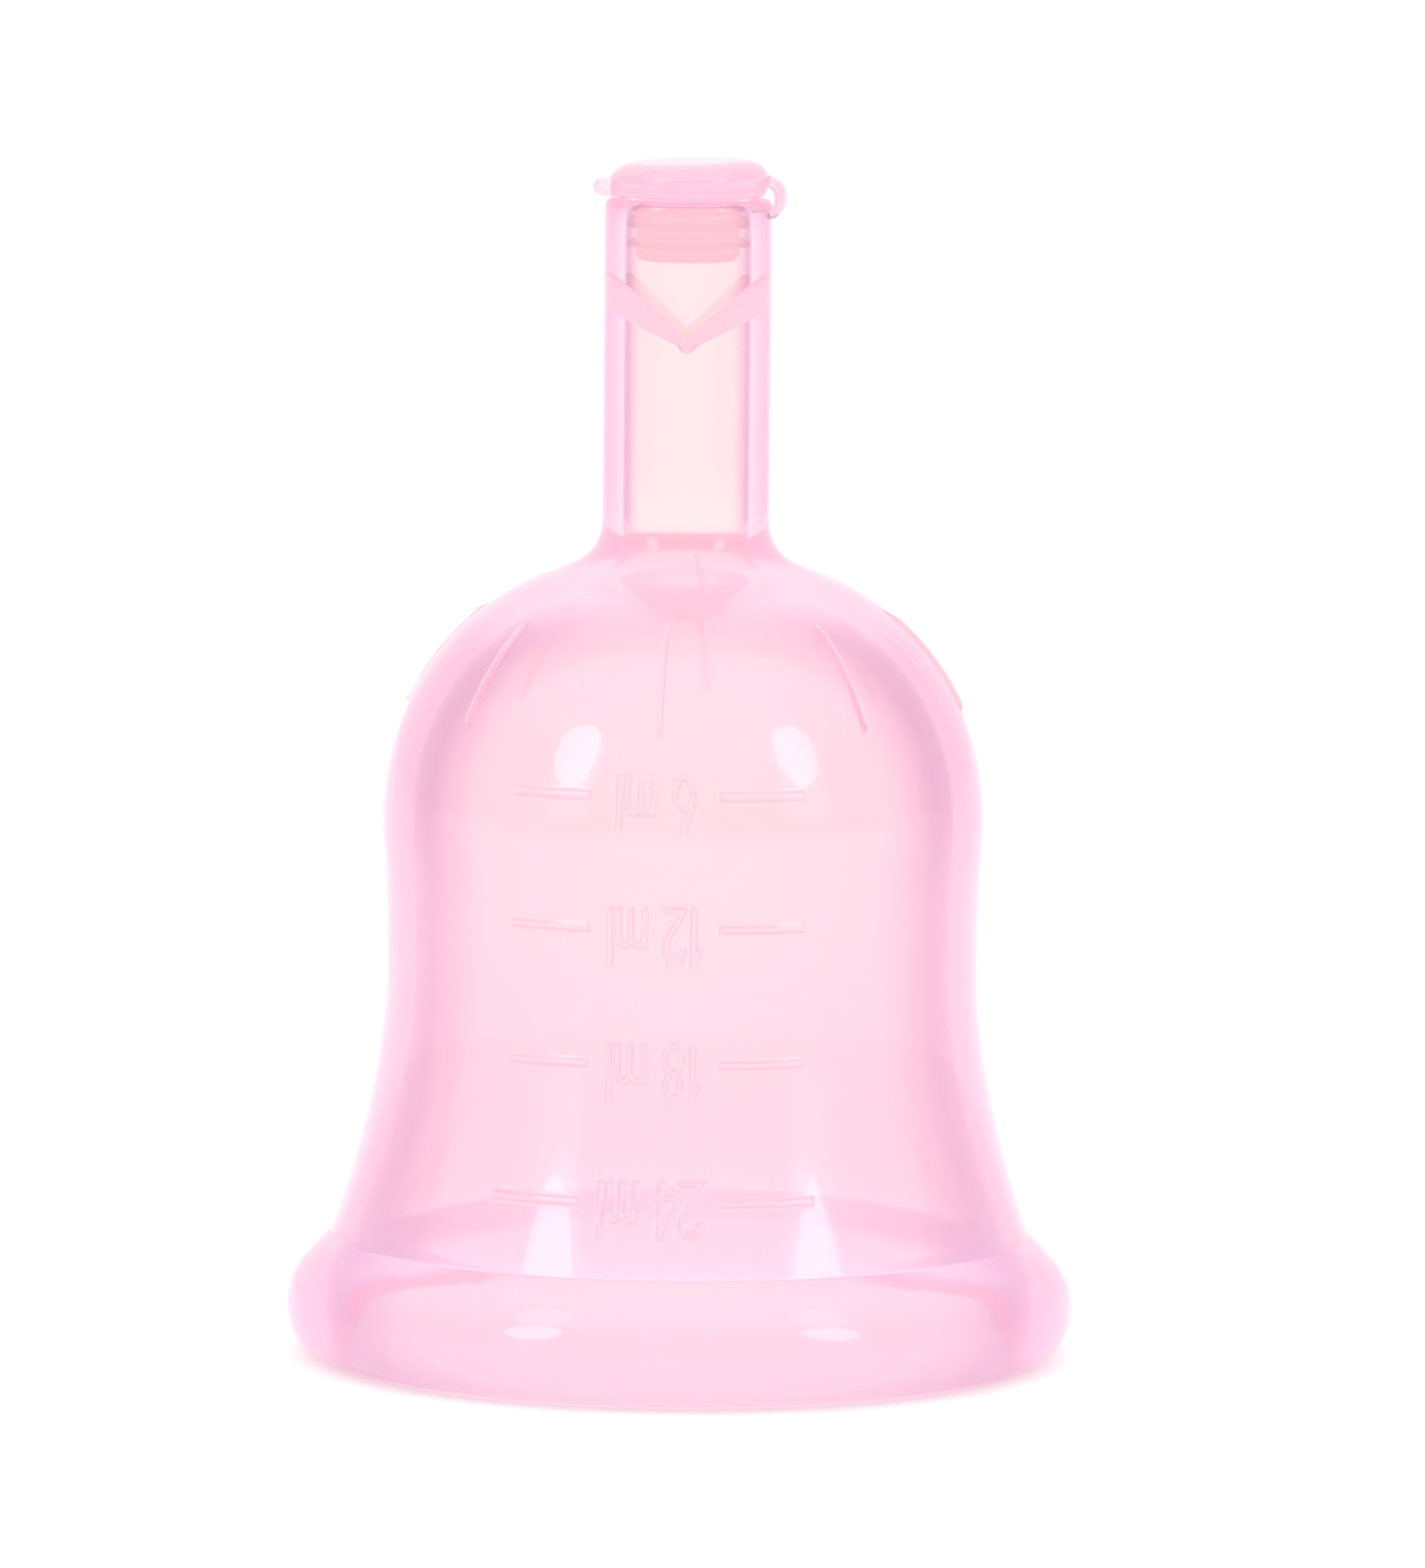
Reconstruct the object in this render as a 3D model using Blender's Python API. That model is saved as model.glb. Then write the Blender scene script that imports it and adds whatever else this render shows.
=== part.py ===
"""Soft silicone drain cup: a bell on a rolled rim, with a hollow stem, valve and stopper.

Metres, +Z up. The cup stands on its rim, opening down. The origin is the centre of the
circle that the rim rests on, and the stem's axis is +Z. The graduations face -Y, and the
stopper's tether is on the +X side. Outlines are (radius, height) pairs.
"""
import math

import bmesh
import bpy
from mathutils import Matrix, Vector, geometry

MM = 0.001

# Gaps between pieces that touch on the real object.
SEAM = 0.1 * MM
TRIM_GAP = 0.08 * MM

# Rim: a rolled bead that bulges outward and is hollow behind.
REST_R_IN = 19.7 * MM
REST_R_OUT = 20.9 * MM
LIP_R = 19.4 * MM
LIP_Z = 0.5 * MM
RIM_R = 23.1 * MM
RIM_Z = 3.05 * MM
GROOVE_R = 21.4 * MM
CREASE_R = 20.4 * MM
CREASE_Z = 7.0 * MM
CREASE_WALL = 1.6 * MM

# Bell: flared skirt, waist, dome and the shoulder where the stem's collar starts.
WALL = 1.8 * MM
WAIST_R = 17.35 * MM
WAIST_Z = 22.4 * MM
DOME_R = 17.66 * MM
DOME_Z = 31.3 * MM
SHOULDER_R = 7.3 * MM
SHOULDER_Z = 46.3 * MM
SHOULDER_IN_R = 6.8 * MM
SHOULDER_IN_Z = 44.5 * MM

# Stem: a tube with a rounded top edge and a countersunk bore.
STEM_R = 4.9 * MM
BORE_R = 3.7 * MM
BORE_FOOT_Z = 47.6 * MM
STEM_ROOT_Z = 49.3 * MM
STEM_TOP_Z = 68.05 * MM
STEM_EDGE = 0.55 * MM
MOUTH = 0.5 * MM

# Stopper: head, insert and two sealing beads seated in grooves of the insert.
HEAD_R = 4.61 * MM
HEAD_Z = 68.15 * MM
HEAD_SIDE_Z = 69.05 * MM
HEAD_TOP_R = 3.2 * MM
TOP_Z = 69.9 * MM
HEAD_EDGE = 0.3 * MM
PLUG_R = 3.02 * MM
PLUG_Z = 64.15 * MM
PLUG_EDGE = 0.4 * MM
GROOVE_DEPTH = 0.25 * MM
BEAD_R = 3.45 * MM
BEAD_HEIGHT = 0.55 * MM
BEAD_HEIGHTS = {"plug_seal_upper": 66.4 * MM, "plug_seal_lower": 65.25 * MM}
TAB_REACH = 5.55 * MM
TAB_THICK = 0.97 * MM
TAB_SPREAD = math.radians(34)
STRAP_REACH = 5.68 * MM
STRAP_HALF = 1.0 * MM
STRAP_NOTCH = 0.22 * MM
STRAP_SPREAD = math.radians(38)
STOPPER_PIVOT = Vector((6.6 * MM, 0, 66.8 * MM))

# Duckbill valve: two lips that hang from the bore's wall and meet in a slit along Y.
LIP_TRIM_R = 3.35 * MM
ROOT_TOP_Z = 63.3 * MM
ROOT_LOW_Z = 61.3 * MM
SLIT_TOP_Z = 60.55 * MM
SLIT_LOW_Z = 59.1 * MM
SLIT_HALF = 0.05 * MM
TIP_BEAD = 0.38 * MM
LIP_PIVOT = Vector((-3.35 * MM, 0, 62.3 * MM))

# Grip ridges down the dome, and the graduation bars either side of the numerals.
RIDGE_COUNT = 8
RIDGE_TURN = math.radians(-5)
RIDGE_LOW_Z = 38.2 * MM
RIDGE_HIGH_Z = 44.2 * MM
RIDGE_HEIGHT = 0.3 * MM
RIDGE_WIDTH = 0.5 * MM
FRONT = math.radians(-90)
MARK_TURN = math.radians(-5.6)
MARK_NEAR = math.radians(12.5)
MARK_FAR = math.radians(28.9)
MARK_HEIGHT = 0.35 * MM
MARK_DEPTH = 0.18 * MM
MARKS = {"06": 34.9 * MM, "12": 27.25 * MM, "18": 19.4 * MM, "24": 11.6 * MM}

# Facets round the cup, and round the stem and the stopper.
CUP_STEPS = 48
STEM_STEPS = 32

FULL_TURN = 2 * math.pi
SMOOTH_ANGLE = math.radians(40)

PINK = (1.0, 0.70, 0.80)
DEEP_PINK = (1.0, 0.60, 0.72)


def clear_scene():
    for obj in list(bpy.data.objects):
        bpy.data.objects.remove(obj, do_unlink=True)


def silicone(name, colour, roughness):
    """A translucent silicone material for one sub-part."""
    material = bpy.data.materials.new(name)
    material.use_nodes = True
    shader = material.node_tree.nodes["Principled BSDF"]
    shader.inputs["Base Color"].default_value = (*colour, 1)
    shader.inputs["Roughness"].default_value = roughness
    shader.inputs["Metallic"].default_value = 0
    shader.inputs["Transmission Weight"].default_value = 0.7
    shader.inputs["IOR"].default_value = 1.41
    return material


def add_object(name, bm, colour=PINK, roughness=0.25):
    """Turn a bmesh into a named object with its own material."""
    bmesh.ops.recalc_face_normals(bm, faces=bm.faces)
    mesh = bpy.data.meshes.new(name)
    bm.to_mesh(mesh)
    bm.free()
    mesh.shade_smooth()
    mesh.set_sharp_from_angle(angle=SMOOTH_ANGLE)
    mesh.materials.append(silicone(name, colour, roughness))
    obj = bpy.data.objects.new(name, mesh)
    bpy.context.scene.collection.objects.link(obj)
    return obj


def add_pivot(name, place, pieces):
    """An empty on a joint's axis that carries the pieces turning about it."""
    pivot = bpy.data.objects.new(name, None)
    pivot.location = place
    bpy.context.scene.collection.objects.link(pivot)
    for piece in pieces:
        piece.parent = pivot
        piece.matrix_parent_inverse = Matrix.Translation(-place)
    return pivot


def at(radius, height):
    return Vector((radius, height))


def stretch(start, pull_start, end, pull_end, steps):
    """Points of a Bezier stretch, its start left out. The pulls are in millimetres."""
    handle_start = start + Vector(pull_start) * MM
    handle_end = end + Vector(pull_end) * MM
    return geometry.interpolate_bezier(start, handle_start, handle_end, end, steps + 1)[1:]


def quarter(centre, size, first_angle, steps):
    """Points of a quarter ellipse round a centre, from first_angle anticlockwise."""
    points = []
    for step in range(steps + 1):
        angle = first_angle + math.pi / 2 * step / steps
        points.append(centre + at(size[0] * math.cos(angle), size[1] * math.sin(angle)))
    return points


def turned(name, outline, steps, start=0.0, sweep=FULL_TURN, closed=True, colour=PINK):
    """Spin an outline about +Z, all the way round or through a sector with flat ends."""
    bm = bmesh.new()
    turn = Matrix.Rotation(start, 3, "Z")
    verts = [bm.verts.new(turn @ Vector((point.x, 0, point.y))) for point in outline]
    pairs = list(zip(verts, verts[1:]))
    if closed:
        pairs.append((verts[-1], verts[0]))
    edges = [bm.edges.new(pair) for pair in pairs]
    bmesh.ops.spin(bm, geom=verts + edges, cent=(0, 0, 0), axis=(0, 0, 1), angle=sweep, steps=steps)
    bmesh.ops.remove_doubles(bm, verts=bm.verts, dist=0.001 * MM)
    if sweep < FULL_TURN:
        ends = [edge for edge in bm.edges if edge.is_boundary]
        bmesh.ops.holes_fill(bm, edges=ends)
    return add_object(name, bm, colour)


# The cup's outlines, bottom to top. Pieces of the cup share their end points.
REST_OUT = at(REST_R_OUT, 0)
REST_IN = at(REST_R_IN, 0)
LIP = at(LIP_R, LIP_Z)
BULGE = at(RIM_R, RIM_Z)
GROOVE = at(GROOVE_R, RIM_Z)
CREASE = at(CREASE_R, CREASE_Z)
CREASE_IN = at(CREASE_R - CREASE_WALL, CREASE_Z)
WAIST = at(WAIST_R, WAIST_Z)
WAIST_IN = at(WAIST_R - WALL, WAIST_Z)
DOME = at(DOME_R, DOME_Z)
DOME_IN = at(DOME_R - WALL, DOME_Z)
SHOULDER = at(SHOULDER_R, SHOULDER_Z)
SHOULDER_IN = at(SHOULDER_IN_R, SHOULDER_IN_Z)
STEM_ROOT = at(STEM_R, STEM_ROOT_Z)
BORE_FOOT = at(BORE_R, BORE_FOOT_Z)


def bell_outside(start):
    """The bell's outer outline, from the crease above the rim to the stem's collar."""
    outline = [start]
    outline += stretch(start, (-0.9, 2.3), WAIST, (0, -5.5), 6)
    outline += stretch(WAIST, (0, 7.4), DOME, (0, -1.1), 4)
    outline += stretch(DOME, (0, 6.9), SHOULDER, (6.6, -2.25), 8)
    return outline


def bell_inside(start):
    """The bell's inner outline, from the crease to the collar."""
    outline = [start]
    outline += stretch(start, (-1.1, 2.6), WAIST_IN, (0, -5.5), 6)
    outline += stretch(WAIST_IN, (0, 7.4), DOME_IN, (0, -1.1), 4)
    outline += stretch(DOME_IN, (0, 6.2), SHOULDER_IN, (5.6, -1.95), 7)
    return outline


def rim_ring():
    outside = [REST_OUT] + stretch(REST_OUT, (1.2, 0), BULGE, (0, -1.7), 5)
    outside += stretch(BULGE, (0, 1.9), CREASE, (1.6, -1.85), 5)
    inside = [REST_IN, LIP] + stretch(LIP, (1.1, 0.4), GROOVE, (0, -1.2), 3)
    inside += stretch(GROOVE, (0, 1.6), CREASE_IN, (0.9, -1.5), 4)
    return turned("rim_ring", outside + inside[::-1], CUP_STEPS)


def bell_wall():
    outside = bell_outside(CREASE + at(0, SEAM))
    inside = bell_inside(CREASE_IN + at(0, SEAM))
    return turned("bell_wall", outside + inside[::-1], CUP_STEPS)


def stem_collar():
    """The thick root where the stem grows out of the dome."""
    outer_start = SHOULDER - at(SEAM, 0)
    inner_start = SHOULDER_IN - at(SEAM, 0)
    outside = [outer_start] + stretch(outer_start, (-1.3, 0.45), STEM_ROOT, (0, -1.9), 6)
    inside = [inner_start] + stretch(inner_start, (-1.7, 0.7), BORE_FOOT, (0, -2.0), 5)
    inside.append(at(BORE_R, STEM_ROOT_Z))
    return turned("stem_collar", outside + inside[::-1], CUP_STEPS, colour=DEEP_PINK)


def drain_stem():
    foot = STEM_ROOT_Z + SEAM
    edge_centre = at(STEM_R - STEM_EDGE, STEM_TOP_Z - STEM_EDGE)
    outline = [at(BORE_R, foot), at(STEM_R, foot)]
    outline += quarter(edge_centre, (STEM_EDGE, STEM_EDGE), 0, 3)
    outline += [at(BORE_R + MOUTH, STEM_TOP_Z), at(BORE_R, STEM_TOP_Z - MOUTH)]
    return turned("drain_stem", outline, STEM_STEPS)


def stopper_head():
    low_centre = at(HEAD_R - HEAD_EDGE, HEAD_Z + HEAD_EDGE)
    high_centre = at(HEAD_TOP_R, HEAD_SIDE_Z)
    high_size = (HEAD_R - HEAD_TOP_R, TOP_Z - HEAD_SIDE_Z)
    outline = [at(0, HEAD_Z)]
    outline += quarter(low_centre, (HEAD_EDGE, HEAD_EDGE), -math.pi / 2, 2)
    outline += quarter(high_centre, high_size, 0, 4)
    outline.append(at(0, TOP_Z))
    return turned("stopper_head", outline, STEM_STEPS, closed=False, colour=DEEP_PINK)


def stopper_plug():
    """The insert, with a groove under each sealing bead."""
    top = HEAD_Z - SEAM
    floor_r = PLUG_R - GROOVE_DEPTH
    half = BEAD_HEIGHT / 2 + SEAM
    outline = [at(0, PLUG_Z)]
    outline += quarter(at(PLUG_R - PLUG_EDGE, PLUG_Z + PLUG_EDGE), (PLUG_EDGE, PLUG_EDGE), -math.pi / 2, 2)
    for height in sorted(BEAD_HEIGHTS.values()):
        outline += [at(PLUG_R, height - half), at(floor_r, height - half)]
        outline += [at(floor_r, height + half), at(PLUG_R, height + half)]
    outline += [at(PLUG_R, top), at(0, top)]
    return turned("stopper_plug", outline, STEM_STEPS, closed=False, colour=DEEP_PINK)


def sealing_bead(name, height):
    inner = PLUG_R - GROOVE_DEPTH + SEAM
    half = BEAD_HEIGHT / 2
    outline = [at(inner, height - half), at(PLUG_R, height - half)]
    outline += [at(BEAD_R, height - half / 2), at(BEAD_R, height + half / 2)]
    outline += [at(PLUG_R, height + half), at(inner, height + half)]
    return turned(name, outline, STEM_STEPS, colour=DEEP_PINK)


def pull_tab():
    """A round-nosed tongue on the head, opposite the tether."""
    nose = TAB_THICK / 2
    centre = at(TAB_REACH - nose, HEAD_Z + nose)
    root_r = HEAD_R + SEAM
    outline = [at(root_r, HEAD_Z)] + quarter(centre, (nose, nose), -math.pi / 2, 3)
    outline += quarter(centre, (nose, nose), 0, 3)[1:]
    outline.append(at(root_r, HEAD_Z + TAB_THICK))
    start = math.pi - TAB_SPREAD / 2
    return turned("pull_tab", outline, 6, start=start, sweep=TAB_SPREAD)


def tether_strap():
    """The living hinge: a bulge from the stem's wall to the head, notched at the seam."""
    root_r = STEM_R + SEAM
    centre = at(root_r, HEAD_Z)
    size = (STRAP_REACH - root_r, STRAP_HALF)
    outline = quarter(centre, size, -math.pi / 2, 4) + quarter(centre, size, 0, 4)[1:]
    outline += [centre + at(0, STRAP_NOTCH), centre + at(STRAP_NOTCH, 0), centre - at(0, STRAP_NOTCH)]
    return turned("tether_strap", outline, 6, start=-STRAP_SPREAD / 2, sweep=STRAP_SPREAD)


def valve_guide():
    """The cylinder that both lips are trimmed to. It is a cutter, not a piece."""
    bm = bmesh.new()
    middle = (ROOT_TOP_Z + SLIT_LOW_Z) / 2
    place = Matrix.Translation((0, 0, middle))
    depth = 3 * (ROOT_TOP_Z - SLIT_LOW_Z)
    bmesh.ops.create_cone(
        bm, cap_ends=True, segments=STEM_STEPS, radius1=LIP_TRIM_R, radius2=LIP_TRIM_R, depth=depth, matrix=place
    )
    guide = add_object("valve_guide", bm)
    guide.hide_render = True
    guide.display_type = "WIRE"
    return guide


def valve_lip(name, side, guide):
    """One lip, cut to the bore by the guide. side is -1 on the left and 1 on the right."""
    bead_centre = at(-SLIT_HALF, SLIT_LOW_Z)
    outline = [at(-BORE_R, ROOT_TOP_Z), at(-BORE_R, ROOT_LOW_Z)]
    outline += quarter(bead_centre, (TIP_BEAD, TIP_BEAD), math.pi, 3)
    outline.append(at(-SLIT_HALF, SLIT_TOP_Z))
    bm = bmesh.new()
    verts = [bm.verts.new((-side * point.x, -BORE_R, point.y)) for point in outline]
    face = bm.faces.new(verts)
    grown = bmesh.ops.extrude_face_region(bm, geom=[face])
    moved = [item for item in grown["geom"] if isinstance(item, bmesh.types.BMVert)]
    bmesh.ops.translate(bm, verts=moved, vec=(0, 2 * BORE_R, 0))
    lip = add_object(name, bm, colour=DEEP_PINK)
    trim = lip.modifiers.new("trim_to_bore", "BOOLEAN")
    trim.operation = "INTERSECT"
    trim.object = guide
    return lip


def outline_at(outline, height):
    """The point of an upward outline at a height, and the outward normal there."""
    for low, high in zip(outline, outline[1:]):
        if low.y <= height <= high.y:
            share = (height - low.y) / (high.y - low.y)
            along = (high - low).normalized()
            return low.lerp(high, share), at(along.y, -along.x)
    raise ValueError("height outside the outline")


def grip_ridge(index, outside):
    """A thin rib down the dome, which sinks into the wall at its upper end."""
    heights = [point.y for point in outside if RIDGE_LOW_Z < point.y < RIDGE_HIGH_Z]
    heights = [RIDGE_LOW_Z] + heights + [RIDGE_HIGH_Z]
    azimuth = FRONT + RIDGE_TURN + FULL_TURN * index / RIDGE_COUNT
    turn = Matrix.Rotation(azimuth, 3, "Z")
    bm = bmesh.new()
    rings = []
    for height in heights:
        point, normal = outline_at(outside, height)
        rise = RIDGE_HEIGHT * (0.35 if height == RIDGE_HIGH_Z else 1.0)
        foot = point + normal * TRIM_GAP
        crest = foot + normal * rise
        corners = [(foot, -1.0), (crest, -0.6), (crest, 0.6), (foot, 1.0)]
        half = RIDGE_WIDTH / 2
        rings.append([bm.verts.new(turn @ Vector((p.x, half * side, p.y))) for p, side in corners])
    bm.faces.new(rings[0])
    bm.faces.new(rings[-1])
    for low, high in zip(rings, rings[1:]):
        for corner in range(4):
            after = (corner + 1) % 4
            bm.faces.new((low[corner], low[after], high[after], high[corner]))
    return add_object(f"grip_ridge_{index + 1}", bm)


def graduation_bar(name, height, start, outside):
    """A low raised bar that follows the bell's wall at one height."""
    point, _ = outline_at(outside, height)
    foot = point.x + TRIM_GAP
    half = MARK_HEIGHT / 2
    outline = [at(foot, height - half), at(foot + MARK_DEPTH, height - half / 2)]
    outline += [at(foot + MARK_DEPTH, height + half / 2), at(foot, height + half)]
    return turned(name, outline, 5, start=start, sweep=MARK_FAR - MARK_NEAR)


def graduations(outside):
    centre = FRONT + MARK_TURN
    for volume, height in MARKS.items():
        graduation_bar(f"mark_{volume}_left", height, centre - MARK_FAR, outside)
        graduation_bar(f"mark_{volume}_right", height, centre + MARK_NEAR, outside)


def build_cup():
    rim_ring()
    bell_wall()
    stem_collar()
    drain_stem()
    tether_strap()
    outside = bell_outside(CREASE)
    for index in range(RIDGE_COUNT):
        grip_ridge(index, outside)
    graduations(outside)


def build_stopper():
    pieces = [stopper_head(), stopper_plug(), pull_tab()]
    pieces += [sealing_bead(name, height) for name, height in BEAD_HEIGHTS.items()]
    add_pivot("stopper_pivot", STOPPER_PIVOT, pieces)


def build_valve():
    guide = valve_guide()
    left = valve_lip("valve_lip_left", -1, guide)
    right = valve_lip("valve_lip_right", 1, guide)
    add_pivot("valve_pivot_left", LIP_PIVOT, [left])
    add_pivot("valve_pivot_right", LIP_PIVOT * Vector((-1, 1, 1)), [right])


def main():
    clear_scene()
    build_cup()
    build_stopper()
    build_valve()


main()
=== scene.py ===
"""Looks of the soft silicone drain cup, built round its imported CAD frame.

Metres, +Z up, the cup standing on its rim with the graduations towards -Y. Outlines are
(radius, height) pairs in millimetres and become metres when a mesh is made. The cup's wall is
one closed shell. The duckbill's lips, the stopper and its strap are closed meshes of their own.
Where a lip is one with the wall, both meshes mark those faces as bonded, and light crosses them
unbent.
"""
import math

import bmesh
import bpy
import numpy as np
from mathutils import Matrix, Vector, geometry


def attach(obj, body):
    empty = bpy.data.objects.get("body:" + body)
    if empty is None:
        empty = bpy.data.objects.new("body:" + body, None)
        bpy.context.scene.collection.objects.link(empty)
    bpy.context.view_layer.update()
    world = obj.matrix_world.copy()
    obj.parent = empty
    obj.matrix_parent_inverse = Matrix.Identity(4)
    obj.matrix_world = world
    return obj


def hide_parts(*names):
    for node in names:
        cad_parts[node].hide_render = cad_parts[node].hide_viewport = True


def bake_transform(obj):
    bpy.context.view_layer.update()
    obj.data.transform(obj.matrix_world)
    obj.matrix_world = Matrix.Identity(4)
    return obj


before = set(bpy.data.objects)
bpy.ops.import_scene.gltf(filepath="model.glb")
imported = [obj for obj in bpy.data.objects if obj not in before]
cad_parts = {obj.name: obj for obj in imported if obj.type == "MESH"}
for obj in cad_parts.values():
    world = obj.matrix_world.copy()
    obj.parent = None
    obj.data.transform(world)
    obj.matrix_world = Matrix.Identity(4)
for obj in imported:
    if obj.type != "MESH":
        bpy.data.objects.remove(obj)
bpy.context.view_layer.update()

MM = 0.001

# ---------------------------------------------------------------- dimensions, millimetres
REST_OUT = (20.9, 0.0)
REST_IN = (19.7, 0.0)
LIP = (19.55, 0.4)
BULGE = (23.1, 3.05)
GROOVE = (21.1, 3.25)
CREASE = (20.5, 7.35)
CREASE_IN = (18.9, 7.3)
WAIST = (17.35, 22.4)
WAIST_IN = (15.55, 22.4)
DOME = (17.66, 31.3)
DOME_IN = (15.86, 31.3)
SHOULDER = (7.3, 46.3)
SHOULDER_IN = (6.8, 44.5)
STEM_R = 4.9
BORE_R = 3.7
BORE_FOOT_Z = 47.6
STEM_ROOT_Z = 49.3
STEM_TOP_Z = 68.05
STEM_EDGE = 0.55
MOUTH = 0.5

# Mesh spacing: rows in millimetres, columns in degrees.
FINE_ROW = 0.12
COLUMN_TURN = 3.1
NUMERAL_TURN = 0.34
NUMERAL_REACH = 12.3
BAR_END_TURNS = (-0.4, -0.2, 0.0, 0.2, 0.4)
RIDGE_TURNS = (-1.2, -0.8, -0.25, 0.25, 0.8, 1.2)
LEAST_TURN = 0.13

RIDGE_COUNT = 8
RIDGE_FIRST = -95.0
RIDGE_LOW_Z = 38.2
RIDGE_HIGH_Z = 44.2
RIDGE_HEIGHT = 0.24
RIDGE_HALF_TURN = 0.56
RIDGE_EDGE_TURN = 0.12
# Share of the painted flank shade on the ridges.
RIDGE_FLANK_SHADE = 0.12
RIDGE_FADE = 0.3
RIDGE_TOP_SLOPE = 0.35

MARK_AZIMUTH = -95.4
MARK_NEAR = 12.5
MARK_FAR = 28.9
MARK_TALL = 0.42
MARK_RAISED = 0.15
MARKS = {"6 ml": 34.9, "12 ml": 27.25, "18 ml": 19.4, "24 ml": 11.6}
TEXT_TALL = 2.95
TEXT_BASE_ABOVE_BAR = 1.1
STROKE = 0.3
EDGE_SOFTNESS = 0.15

SLIT_HALF = 0.015
LIP_ROOT_TOP = 63.6
LIP_ROOT_LOW = 61.3
SLIT_TOP_Z = 60.15
SLIT_LOW_Z = 59.6
TIP_BEAD = 0.36
BOND_SHARES = (0.0, 1 / 3, 2 / 3, 1.0)
BOND_GAP = 0.002

HEAD_R = 4.61
HEAD_Z = 68.15
HEAD_SIDE_Z = 69.1
TOP_Z = 70.15
HEAD_TOP_R = 3.05
PLUG_R = 3.02
PLUG_Z = 64.4
BEAD_R = 3.68
BEAD_HALF = 0.09
BEAD_HEIGHTS = (65.4, 66.5)
BEAD_FOOT = ((0.22, 0.0), (0.1, 0.04), (0.03, 0.14))
HEAD_TILT = 0.035
TAB_REACH = 5.6
TAB_TOP_Z = 69.35
TAB_HALF_TURN = 17.0
STRAP_HALF_TURN = 20.0
STRAP_THICK = 0.6
STRAP_REACH = 0.36
STRAP_RISE = 0.6

# ---------------------------------------------------------------- light, in the white of the backdrop
BACK_LIGHT = 1.15
SIDE_LIGHT = 0.75
TOP_LIGHT = 0.9
FLOOR_GLOW = 0.37
FLOOR_COLOUR = (0.65, 0.65, 0.65)
SOFTBOX_DISTANCE = 1.25
SOFTBOX_COLOUR = (1.0, 1.0, 0.93)
SOFTBOX_SIDES = (("left", -47), ("right", 49.5))
# Name, shape, elevation in degrees, width and height in metres, brightness.
SOFTBOX_PARTS = (("", "ELLIPSE", 30, 0.35, 0.58, 4.5), ("_skirt", "RECTANGLE", 13.5, 0.34, 0.36, 0.72))

# ---------------------------------------------------------------- camera, metres
CAMERA_PLACE = (0.0, -0.870, 0.1375)
CAMERA_AIM = (0.0, 0.0, 0.035)
CAMERA_ROLL = 0.493
LENS = 344
SENSOR = 36
FRAME_TALL = 1650
SHIFT = (30.3, -24.7)

# ---------------------------------------------------------------- rubber
REFRACTION = 1.41
ROUGHNESS = {"cup": 0.07, "valve": 0.08, "stopper": 0.2}
RUBBER_LOST = (0.24, 0.30, 0.20)
# Painted glow: the colour that each rubber gives off of its own from inside, standing in for light scattered
# within it.
CUP_PAINTED_GLOW = (1.1, 0.52, 0.74)
VALVE_PAINTED_GLOW = (1.1, 0.65, 0.76)
STOPPER_PAINTED_GLOW = (1.1, 0.59, 0.79)
# Tints and shares by height; the slants run from 0 face on to 1 edge on. The tints by height are painted light:
# they shift the rubber's colour with height to stand in for the differently lit surroundings seen through it.
HEIGHT_LIGHT_TINTS = (
    (7.0, (1.0, 0.975, 0.96)),
    (9.5, (1.0, 0.93, 0.88)),
    (25.0, (1.0, 0.97, 0.88)),
    (42.0, (1.0, 0.975, 0.88)),
    (48.0, (1.0, 0.985, 0.9)),
    (52.0, (1.0, 0.945, 0.86)),
)
# Painted shade: the edge tint darkens the rubber where its inner face is seen on a slant, standing in for the
# darker surroundings seen through the wall's edges, by these shares of height and slant.
EDGE_SHADE_HEIGHTS = ((27.0, 0.75), (33.0, 1.0), (42.5, 1.0), (44.4, 0.1), (48.0, 0.1), (49.5, 1.0))
EDGE_SHADE_TINT = (0.34, 0.2, 0.56)
EDGE_SHADE_SLANTS = ((0.15, 0.0), (0.25, 1.0), (0.295, 1.0), (0.37, 0.12))
# Painted shade: a darker tint along the sides of the raised marks and ridges, which draws them as thin
# outlines.
FLANK_SHADE_TINT = (0.88, 0.7, 0.83)


# ---------------------------------------------------------------- outlines
def stretch(start, pull_start, end, pull_end, steps=60):
    """Points of a Bezier stretch between two outline points, its start left out."""
    a, b = Vector(start), Vector(end)
    points = geometry.interpolate_bezier(a, a + Vector(pull_start), b + Vector(pull_end), b, steps + 1)
    return [tuple(point) for point in points[1:]]


def quarter(centre, size, first_angle, steps=8):
    """Points of a quarter ellipse round a centre, from first_angle in degrees, anticlockwise."""
    angles = np.radians(first_angle + np.linspace(0, 90, steps + 1))
    return [(centre[0] + size[0] * math.cos(a), centre[1] + size[1] * math.sin(a)) for a in angles]


def lengths(outline):
    """How far along a dense outline each of its points is."""
    return np.concatenate([[0], np.cumsum(np.hypot(*np.diff(outline, axis=0).T))])


def points_at(outline, along, places):
    """Points of a dense outline at given distances along it."""
    return np.column_stack([np.interp(places, along, outline[:, axis]) for axis in (0, 1)])


def walk(outline, spacing):
    """Points along a dense outline, as far apart as spacing says for each height."""
    outline = np.array(outline, float)
    along = lengths(outline)
    places = [0.0]
    while True:
        step = spacing(np.interp(places[-1], along, outline[:, 1]))
        if places[-1] + 1.4 * step >= along[-1]:
            break
        places.append(places[-1] + step)
    places.append(along[-1])
    return points_at(outline, along, places)


def evenly(outline, count):
    """A dense outline as count points evenly spaced along it."""
    outline = np.array(outline, float)
    along = lengths(outline)
    return points_at(outline, along, np.linspace(0, along[-1], count))


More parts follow.
